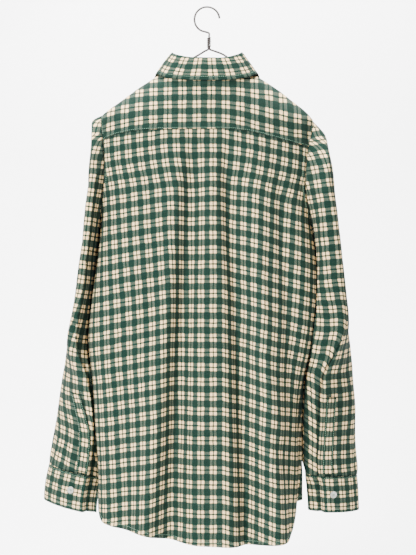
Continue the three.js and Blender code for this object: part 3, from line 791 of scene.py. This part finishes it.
def make_yoke():
    arm = np.linspace(-YOKE_CORNER, YOKE_CORNER, 37)
    seam = np.linspace(1, -1, 141)[1:-1]
    outer_edge = np.concatenate([armhole("left", arm), yoke_seam(seam), armhole("right", -arm)])
    inner_edge = neck(np.linspace(YOKE_NECK, -YOKE_NECK, len(outer_edge)))
    v = np.linspace(0, 1, 52)[None, :, None]
    domain = lerp(outer_edge[:, None], inner_edge[:, None], v)
    piece, points, outer = make_panel("yoke_panel", "yoke", domain, YOKE_CLOTH, yoke_uv, yoke_finish)
    stitch(points, outer, 1, 1.8, first=36, last=-36)
    stitch(points, outer, 1, 6.5, last=37)
    stitch(points, outer, 1, 6.5, first=-37)
    return piece


def make_front(side):
    sign = SIGN[side]
    past = 180 + math.degrees(math.asin(PLACKET_HALF / NECK_HALF))
    v = np.linspace(0, 1, 31)[:, None]
    corner = armhole(side, -YOKE_CORNER)
    seam = lerp(corner, neck(sign * YOKE_NECK), v)
    rounds = np.linspace(YOKE_NECK, past, 62)[1:]
    top = np.concatenate([seam, neck(sign * rounds)])
    edge = side_edge(side, "front")
    low = hem(180)[1]
    drops = np.linspace(low, top[-1, 1], len(edge))
    turns = 360 - turn_at(np.full_like(drops, PLACKET_HALF), drops, True)
    turns[-1] = abs(top[-1, 0])
    free = np.stack([sign * turns, drops], -1)
    u = np.linspace(0, 1, len(top))
    bottom = hem(sign * lerp(SIDE_TURN, turns[0], u))
    bottom[-1] = free[0]
    domain = blend(bottom, top, edge, free)
    x = tube(domain[..., 0], domain[..., 1])[..., 0]
    lift = np.zeros_like(x)
    if side == "right":
        lift = -UNDERLAP * smooth(x, -PLACKET_HALF - UNDERLAP_FADE, -PLACKET_HALF)
    piece, points, outer = make_panel(
        f"{side}_front", f"front_{side}", domain, BODY_CLOTH, front_uv, front_finish, lift
    )
    stitch(points, outer, 1, HEM_SEWING, last=-6)
    stitch(points, outer, 0, ARM_SEWING, first=SEAM_ROWS + 1)
    return piece


def make_placket():
    top = neck(180)[1]
    x, drops = lattice((PLACKET_HALF - 0.6, -PLACKET_HALF + 0.6, 15), (856, top + 2, 220))
    near = turn_at(np.abs(x), drops, True)
    turn = np.where(x >= 0, near, 360 - near)
    points, outer = (cloth(turn, drops, ON_TOP + more) for more in (0, 1))
    points = sewn(points, outer, -0.45 * tucked(np.minimum(*reach(points, 0)), 1.6))
    uv = np.stack([x + 4.0, -drops + 5], -1)
    piece = make_piece("front_placket", "placket", points, outer, uv, CLOTH, BODY_CLOTH)
    for inset in (5, -5):
        stitch(points, outer, 0, inset)
    return piece


# Collar

def upright(turned, up, out=0.0):
    """A place on the collar stand, at a height above the neck's seam."""
    base_domain = neck(turned)
    base = cloth(base_domain[..., 0], base_domain[..., 1])
    plan = np.stack([base[..., 0], base[..., 1] - 2, 0 * base[..., 0]], -1)
    away = np.asarray(out - STAND_LEAN * up)
    return base + np.stack([0 * up, 0 * up, up], -1) + unit(plan) * away[..., None]


def wind(turned):
    """How far the stand's outer end lies over its inner end."""
    return 1.5 * (DOUBLE + 0.6) * smooth(turned, 120, 166)


def stand_height(turned):
    return along(STAND, "high", np.abs(turned))


def make_stand():
    overlap = 180 + STAND_LAP
    turned, up = lattice((overlap, -overlap, 240), (0, 1, 12))
    ups = lerp(1.0, stand_height(turned), up)
    points, outer = (upright(turned, ups, wind(turned) + out) for out in (STAND_OUT, STAND_OUT + 1))
    run = reach(points, 0)[0]
    uv = np.stack([run - run[120:121], ups], -1)
    return make_piece("collar_band", "collar_stand", points, outer, uv, DOUBLE, COLLAR_CLOTH)


def make_leaf():
    turned, t = lattice((LEAF_END, -LEAF_END, 260), (0, 1, 34))
    size, sign = np.abs(turned), np.where(turned < 0, -1, 1)
    ahead = upright(turned + 2, 0 * turned) - upright(turned - 2, 0 * turned)
    slant = np.linalg.norm(ahead, axis=-1) / np.hypot(ahead[..., 0], ahead[..., 1])
    top = stand_height(turned) + (DOUBLE + 1.3) * slant
    start = upright(turned, top, 0.9 + wind(turned))
    out = lerp(LEAF_BEND["back"], LEAF_BEND["front"], smooth(size, 95, 140))
    bend = upright(turned, top + LEAF_BEND["up"], out + wind(turned))
    drop = along(LEAF, "drop", size)
    across = np.minimum(along(LEAF, "across", size), body("left", drop))
    end = cloth(sign * turn_at(across, drop, size > 90), drop, LEAF_LIFT)
    t = t[..., None]
    points = (1 - t) ** 2 * end + 2 * t * (1 - t) * bend + t**2 * start
    outer = points + unit(np.stack([points[..., 0], points[..., 1], 0 * size + 30], -1))
    low = reach(points, 1)[0]
    first, last = reach(points, 0)
    edge = np.minimum.reduce([low, first, last])
    wave = 0.5 * ripple(turned * 1.2, t[..., 0] * 40, 21, 30, 30)
    points = sewn(points, outer, wave * smooth(edge, 0, 8) - pressed(edge, 1.6))
    middle = first[:, 17:18] - first[130:131, 17:18]
    uv = np.stack([-middle - 0.8 + 0 * low, low], -1)
    leaf = make_piece("collar_fold", "collar_leaf", points, outer, uv, DOUBLE, COLLAR_CLOTH)
    stitch(points, outer, 1, EDGE_SEWING)
    for inset in (EDGE_SEWING, -EDGE_SEWING):
        stitch(points, outer, 0, inset, last=-4)
    return leaf


# Sleeves

def section(side, turned, drop, lift=0.0):
    """The sleeve's level section, from its own middle, at angles counted from its outer side."""
    c, s = np.cos(np.radians(turned)), np.sin(np.radians(turned))
    turn, long, thick, y = (along(SLEEVES[side], key, drop) for key in ("turn", "long", "thick", "y"))
    turn = np.radians(turn)
    out = unit(np.stack([long * c, thick * s], -1))
    # Between shoulder and forearm the sleeve is flatter at its tips and fuller beside the body.
    level = plateau(drop, 200, 300, 530, 640)
    square = 2 / (2 + np.where(c < 0, SQUARE_INSIDE[side], 2) * level)
    full = 1 + FULLER[side] * plateau(drop, 420, 560, 700, 790) * (c < 0)
    sink = HOLLOW[side]
    edge = lerp(sink["high"], sink["low"], smooth(drop, 600, 720))
    past = plateau(turned, edge + 2, edge + 2 + sink["ease"], 92, 132)
    groove = sink["groove"] * np.exp(-(((turned - edge - 7) / 5) ** 2)) * (turned < 180)
    share = smooth(drop, sink["start"], sink["end"])
    away = lift - groove * share
    p = thick * full * power(c, square) + out[..., 0] * away
    q = long * power(s, square) + out[..., 1] * away
    y = y + p * np.sin(turn) + q * np.cos(turn)
    return p * np.cos(turn) - q * np.sin(turn), y - sink["depth"] * past * share


def sleeve_middle(side, drop):
    """The sleeve's middle, set in from its outline by the reach of each section."""
    levels = np.arange(186.0, 850.0, 4.0)
    turned, level = np.meshgrid(np.linspace(-90, 90, 181), levels, indexing="ij")
    outward = section(side, turned, level)[0].max(axis=0)
    middle = along(OUTLINE[side], "x", levels) - outward
    return along({"drop": levels, "x": middle}, "x", drop)


def on_sleeve(side, turned, nominal, lift=0.0):
    """Points of a sleeve, drawn to its armhole above and kept outside the body's tube."""
    hole_domain = armhole(side, turned)
    start = hole_domain[..., 1]
    hole = tube(np.abs(hole_domain[..., 0]), start)
    hole_x = np.abs(tube(hole_domain[..., 0], start)[..., 0])
    reach_down = lerp(ARMHOLE[side]["cap"], CAP_REACH, np.sin(np.radians(turned / 2)) ** 2)
    share = np.clip((nominal - start) / reach_down, 0, 1)
    weight = np.sin(np.pi / 2 * share)
    x, y = section(side, turned % 360, nominal, lift)
    centre = sleeve_middle(side, nominal)
    x = lerp(hole_x + 0.8, x + centre, weight)
    y = lerp(hole[..., 1], y, weight)
    depth = np.where(y >= 0, body("back", nominal), body("front", nominal))
    square = body("square", nominal)
    inside = np.minimum(np.abs(y) / depth, 1)
    edge = body(side, nominal) * (1 - inside**square) ** (1 / square) + SLEEVE_CLEAR
    x = np.where(nominal > start + 2, np.maximum(x, edge), x)
    cuff = CUFFS[side]
    tilt = cuff["tilt"] * smooth(nominal, cuff["top"] - 200, cuff["top"])
    return np.stack([SIGN[side] * x, y, tilt * (x - centre) - nominal], -1)


def sleeve_uv(side, turned, nominal):
    """Cloth coordinates: round the sleeve from its back corner, and down its length."""
    drops = np.arange(188.0, 842.0, UV_STEP)
    rounds = np.linspace(-180, 180, 181)
    at, level = np.meshgrid(rounds, drops, indexing="ij")
    surface = on_sleeve(side, at, level)
    x, y = np.abs(surface[..., 0]), surface[..., 1]
    # Where the sleeve swings round to face back, its cloth is drawn in from front to back.
    drawn = 1 - 0.45 * plateau(level, 470, 560, 640, 730)
    step = np.hypot(np.diff(x, axis=0), np.diff(y, axis=0) * drawn[1:])
    run = np.concatenate([np.zeros_like(step[:1]), np.cumsum(step, 0)])
    corner = GRAIN_CORNER[side] // 2 + 90
    swing = GRAIN_SWING[side] * smooth(drops, 440, 690)
    run = (run - run[corner : corner + 1] + swing) * SLEEVE_EASE
    u = (turned + 180) / 2
    i = np.clip(u.astype(int), 0, 179)
    v = np.clip((nominal - drops[0]) / UV_STEP, 0, len(drops) - 1.001)
    j = v.astype(int)
    here = between(x, i, j, u - i, v - j)
    outline = OUTLINE[side]
    lean = (along(outline, "x", nominal + 30) - along(outline, "x", nominal - 30)) / 60
    down = nominal - GRAIN_TOP[side] + (here - sleeve_middle(side, nominal)) * lean
    if side == "right":
        down = down + 0.3 * np.clip(turned - 50, 0, 70) * smooth(nominal, 420, 560)
    return np.stack([between(run, i, j, u - i, v - j) * SIGN[side], -down], -1)


def make_sleeve(side):
    turned, v = lattice((-180, 180, 169), (0, 1, 211))
    start = armhole(side, turned)[..., 1]
    top = CUFFS[side]["top"]
    nominal = lerp(start, top, v**1.05)
    points = on_sleeve(side, turned, nominal)
    outer = points + 4 * (on_sleeve(side, turned, nominal, 0.5) - points)
    middle = SIGN[side] * sleeve_middle(side, nominal)
    centre = np.stack([middle, along(SLEEVES[side], "y", nominal)], -1)
    outer[..., :2] = points[..., :2] + unit(points[..., :2] - centre)
    free = smooth(nominal, start + 15, start + 90)
    near_cuff = plateau(nominal, top - 110, top - 12, top - 10, top)
    seed = SLEEVE_SEED[side]
    # Wrinkles run on a slant at the elbow, and pleats rise from the cuff's seam.
    slant = nominal + 0.9 * turned
    amount = 1.5 * ripple(turned * 0.9, slant, seed, 60, 46) * free
    amount += 0.9 * ripple(turned, nominal, seed + 1, 24, 90) * free
    pleats = turned * 9 + 20 * ripple(turned, nominal, seed + 2, 60, 80)
    amount += 1.6 * np.sin(np.radians(pleats)) * near_cuff
    points = sewn(points, outer, amount * (1 - smooth(np.abs(turned), 168, 180)))
    uv = sleeve_uv(side, turned, nominal)
    name, node = f"{side}_sleeve", f"sleeve_{side}"
    return make_piece(name, node, points, outer, uv, CLOTH, SLEEVE_CLOTH, closed=True)


def cuff_rise(turned):
    return (DOUBLE + 0.7) * (1 - smooth(turned, CUFF_LAP, CUFF_LAP + 60))


def make_cuff(side):
    cuff = CUFFS[side]
    turned, drop = lattice((0, 360 + CUFF_LAP, 150), (cuff["bottom"], cuff["top"], 26))
    lift = 0.4 + cuff_rise(turned)
    points, outer = (on_sleeve(side, cuff["over"] - turned, drop, lift + more) for more in (0, 1))
    low, high = reach(points, 1)
    first, last = reach(points, 0)
    edge = np.minimum.reduce([low, high, first, last])
    wave = 0.4 * ripple(turned, drop, 27, 40, 30)
    points = sewn(points, outer, wave * smooth(edge, 0, 6) - pressed(edge, 1.5))
    uv = np.stack([first, low], -1)
    piece = make_piece(f"{side}_cuff", f"cuff_{side}", points, outer, uv, DOUBLE, CUFF_CLOTH)
    stitch(points, outer, 1, EDGE_SEWING)
    stitch(points, outer, 1, -3)
    stitch(points, outer, 0, EDGE_SEWING)
    return piece


def make_strip(side):
    low = CUFFS[side]["top"] - 4
    turned, drop = lattice((*STRIP[side], 16), (low, low - STRIP["high"], 60))
    points, outer = (on_sleeve(side, turned, drop, ON_TOP + lift) for lift in (0.8, 1.8))
    points = sewn(points, outer, -0.4 * tucked(np.minimum(*reach(points, 0)), 1.5))
    uv = np.stack([reach(points, 0)[0], -drop], -1)
    name, node = f"{side}_sleeve_placket", f"sleeve_placket_{side}"
    piece = make_piece(name, node, points, outer, uv, CLOTH, SLEEVE_CLOTH)
    for inset in (2, -2):
        stitch(points, outer, 0, inset)
    return piece


# Hanger

def make_wire(name, node, points, radius):
    curve = bpy.data.curves.new(name, "CURVE")
    curve.dimensions = "3D"
    curve.bevel_depth = radius * MM
    curve.bevel_resolution = 3
    curve.use_fill_caps = True
    spline = curve.splines.new("POLY")
    spline.points.add(len(points) - 1)
    for spot, point in zip(spline.points, points):
        spot.co = (*(place * MM for place in point), 1)
    attach(add_object(name, curve, LACQUER), "hanger_wire", node)


def through(points, count):
    """A smooth path through points, by centripetal Catmull-Rom."""
    p = np.array(points, float)
    p = np.concatenate([[2 * p[0] - p[1]], p, [2 * p[-1] - p[-2]]])
    knots = np.concatenate([[0], np.cumsum(np.linalg.norm(np.diff(p, axis=0), axis=1) ** 0.5)])
    path = []

    def part(t, low, high, start, end):
        return lerp(start, end, (t - low) / (high - low))

    for k in range(1, len(p) - 2):
        a, b, c, d = knots[k - 1 : k + 3]
        t = np.linspace(b, c, count, endpoint=False)[:, None]
        first = part(t, a, b, p[k - 1], p[k])
        middle = part(t, b, c, p[k], p[k + 1])
        last = part(t, c, d, p[k + 1], p[k + 2])
        path.append(part(t, b, c, part(t, a, c, first, middle), part(t, b, d, middle, last)))
    return np.concatenate(path + [p[-2:-1]])


def make_hanger():
    bow = HOOK_RADIUS + WIRE
    hook = [(NECK_X, 0, -drop) for drop in (TWIST_TOP + 8, TWIST_TOP - 0.4, 2 * HOOK_RADIUS + 4)]
    for angle in np.radians(np.linspace(-62, 175, 15)):
        hook.append((bow * math.cos(angle), 0, bow * math.sin(angle) - HOOK_RADIUS))
    make_wire("hanger_hook_wire", "hanger_hook", through(hook, 10), WIRE)

    def ridge(x):
        drops = np.arange(94, 240, 0.2)
        half = np.minimum(body("left", drops), body("right", drops))
        return drops[np.argmax(half >= x)]

    def shoulder(x):
        slope = (ridge(x + 3) - ridge(x - 3)) / 6
        return -ridge(x) - ARM_BELOW * math.hypot(1, slope)

    def arm(sign, neck_points):
        path = [(x, 0, -drop) for x, drop in neck_points]
        path += [(sign * x, 0, shoulder(x)) for x in (64, 92, 120, 148, ARM_END - 4)]
        for x, rise in ((ARM_END + 2, 18), (ARM_END - 7, 2), (ARM_END - 22, 0), (60, 0)):
            path.append((sign * x, 0, rise - HANGER_BAR))
        return path

    route = arm(1, HANGER_LEFT) + arm(-1, HANGER_RIGHT)[::-1]
    make_wire("hanger_frame_wire", "hanger_frame", through(route, 9), WIRE)
    # The two ends of the frame's wire are wound round the shank.
    turns = np.linspace(0, 1, 130)
    angle = turns * 2 * math.pi * TWIST_TURNS
    rise = lerp(-TWIST_BOTTOM + 1.6, -TWIST_TOP - 1.4, turns)
    coil = np.stack([NECK_X + TWIST_OUT * np.cos(angle), TWIST_OUT * np.sin(angle), rise], -1)
    make_wire("hanger_twist_wire", "hanger_twist", coil, TWIST_WIRE)


# Buttons

def add_rod(bm, radius, depth, segments, matrix):
    bmesh.ops.create_cone(
        bm, cap_ends=True, segments=segments, radius1=radius, radius2=radius, depth=depth, matrix=matrix
    )


def toward(direction):
    """The turn that brings +Z to a direction."""
    return direction.to_track_quat("Z", "Y").to_matrix().to_4x4()


def make_button(name, node, centre, out, turn=0.0):
    """A turned button with four holes, a raised rim and two crossing pairs of threads."""
    bm = bmesh.new()
    chain = [bm.verts.new((r, 0, h + 0.9)) for r, h in BUTTON_PROFILE]
    edges = [bm.edges.new(pair) for pair in zip(chain, chain[1:])]
    bmesh.ops.spin(
        bm, geom=chain + edges, cent=(0, 0, 0), axis=(0, 0, 1), angle=2 * math.pi, steps=40, use_merge=True
    )
    bmesh.ops.remove_doubles(bm, verts=bm.verts[:], dist=1e-4)
    holes = [Vector((x * HOLE_OUT, y * HOLE_OUT, 0)) for x, y in ((1, 1), (-1, 1), (-1, -1), (1, -1))]
    for hole in holes:
        add_rod(bm, HOLE_RADIUS, 0.12, 12, Matrix.Translation((*hole.xy, 1.5)))
    body_faces = len(bm.faces)
    for k in range(2):
        direction = holes[k + 2] - holes[k]
        for offset in (-0.22, 0.22):
            middle = Matrix.Translation((offset, offset, 1.72))
            add_rod(bm, 0.27, direction.length, 8, middle @ toward(direction))
    bmesh.ops.recalc_face_normals(bm, faces=bm.faces[:])
    bm.faces.ensure_lookup_table()
    for k, face in enumerate(bm.faces):
        face.material_index = 1 if k >= body_faces else 0
    place = Matrix.Translation(Vector(centre) * MM) @ toward(Vector(out).normalized())
    place = place @ Matrix.Rotation(math.radians(turn), 4, "Z") @ Matrix.Diagonal((MM, MM, MM, 1))
    bm.transform(place)
    attach(add_mesh(name, bm, SHELL, THREAD), "button_shell", node)


def make_buttons():
    for k, drop in enumerate(FRONT_BUTTONS):
        here, ahead = (cloth(180, drop, ON_TOP + out) for out in (0, 5))
        make_button(f"front_button_{k + 1}", f"button_front_{k + 1}", here, ahead - here, 20 + 37 * k)
    stand = upright(180, COLLAR_BUTTON_UP, wind(180) + STAND_OUT)
    make_button("collar_button", "button_collar", stand + np.array([0, -0.5, 0]), (0, -1, 0.16), 12)
    for side in SIDES:
        lift = 0.4 + DOUBLE + 0.7
        drop = CUFFS[side]["button"]
        here, ahead = (on_sleeve(side, CUFF_BUTTON, drop, lift + out) for out in (0.5, 6))
        make_button(f"{side}_cuff_button", f"button_cuff_{side}", here, ahead - here, 30)


# Stage

def paper():
    """Pale studio paper that can be seen through from behind, for views of the shirt's front."""
    material = plain("studio paper", (0.9, 0.9, 0.9), 0.9, scale=4.0, vary=0.01)
    t = Tree(material.node_tree)
    nodes = material.node_tree.nodes
    behind = t.node("ShaderNodeNewGeometry").outputs["Backfacing"]
    clear = t.node("ShaderNodeBsdfTransparent").outputs[0]
    both = t.node("ShaderNodeMixShader", {0: behind, 1: nodes["Principled BSDF"].outputs[0], 2: clear})
    t.put(nodes["Material Output"].inputs["Surface"], both.outputs[0])
    return material


def make_stage():
    """A sweep of paper: a floor, a bend and a wall, on the far side of the shirt."""
    bm = bmesh.new()
    bmesh.ops.create_grid(bm, x_segments=1, y_segments=60, size=1)
    arc = SWEEP_BEND * math.pi / 2
    for vert in bm.verts:
        s = (vert.co.y + 1) / 2 * SWEEP_LENGTH
        a = min(max((s - SWEEP_FLOOR) / SWEEP_BEND, 0), math.pi / 2)
        y = SWEEP_NEAR - min(s, SWEEP_FLOOR) - SWEEP_BEND * math.sin(a)
        z = FLOOR + SWEEP_BEND * (1 - math.cos(a)) + max(s - SWEEP_FLOOR - arc, 0)
        vert.co = (vert.co.x * SWEEP_HALF, y, z)
    bmesh.ops.recalc_face_normals(bm, faces=bm.faces[:])
    bm.faces.ensure_lookup_table()
    if bm.faces[0].normal.z + bm.faces[0].normal.y < 0:
        bmesh.ops.reverse_faces(bm, faces=bm.faces[:])
    add_mesh("studio_sweep", bm, paper())


def area_light(name, place, size, power_watts, target=(0, 0, -0.45)):
    data = bpy.data.lights.new(name, "AREA")
    data.shape = "DISK"
    data.size = size
    data.energy = power_watts
    lamp = add_object(name, data)
    lamp.location = place
    lamp.rotation_euler = (Vector(target) - Vector(place)).to_track_quat("-Z", "Y").to_euler()


def make_camera_and_light():
    camera = bpy.data.cameras.new("camera")
    camera.lens = LENS
    camera.sensor_width = 36
    view = add_object("camera", camera)
    view.location = (CAMERA_X, CAMERA_DISTANCE, -EYE_DROP)
    view.rotation_euler = (math.pi / 2, 0, math.pi)
    bpy.context.scene.camera = view
    world = bpy.data.worlds.new("studio")
    world.use_nodes = True
    # Beyond the paper the room looks pale, but throws little light on the cloth.
    room = Tree(world.node_tree)
    seen = room.node("ShaderNodeLightPath").outputs["Is Camera Ray"]
    strength = room.math("MULTIPLY_ADD", seen, ROOM_SEEN - ROOM_LIGHT, ROOM_LIGHT)
    room.fill(world.node_tree.nodes["Background"], {0: (1, 1, 1, 1), 1: strength})
    bpy.context.scene.world = world
    area_light("key", (1.6, 2.5, 0.8), 0.8, 330)
    area_light("fill", (-1.0, 2.8, 0.1), 1.2, 16)
    area_light("front fill", (0.9, -1.6, 0.9), 1.0, 60)
    area_light("paper light", (0, -0.3, 1.9), 1.6, 520, target=(0, -1.7, -0.5))


make_camera_and_light()
make_stage()
back = make_back()
yoke = make_yoke()
fronts = {side: make_front(side) for side in SIDES}
placket = make_placket()
stand = make_stand()
leaf = make_leaf()
sleeves = {side: make_sleeve(side) for side in SIDES}
cuffs = {side: make_cuff(side) for side in SIDES}
strips = {side: make_strip(side) for side in SIDES}
make_stitches()
make_hanger()
make_buttons()
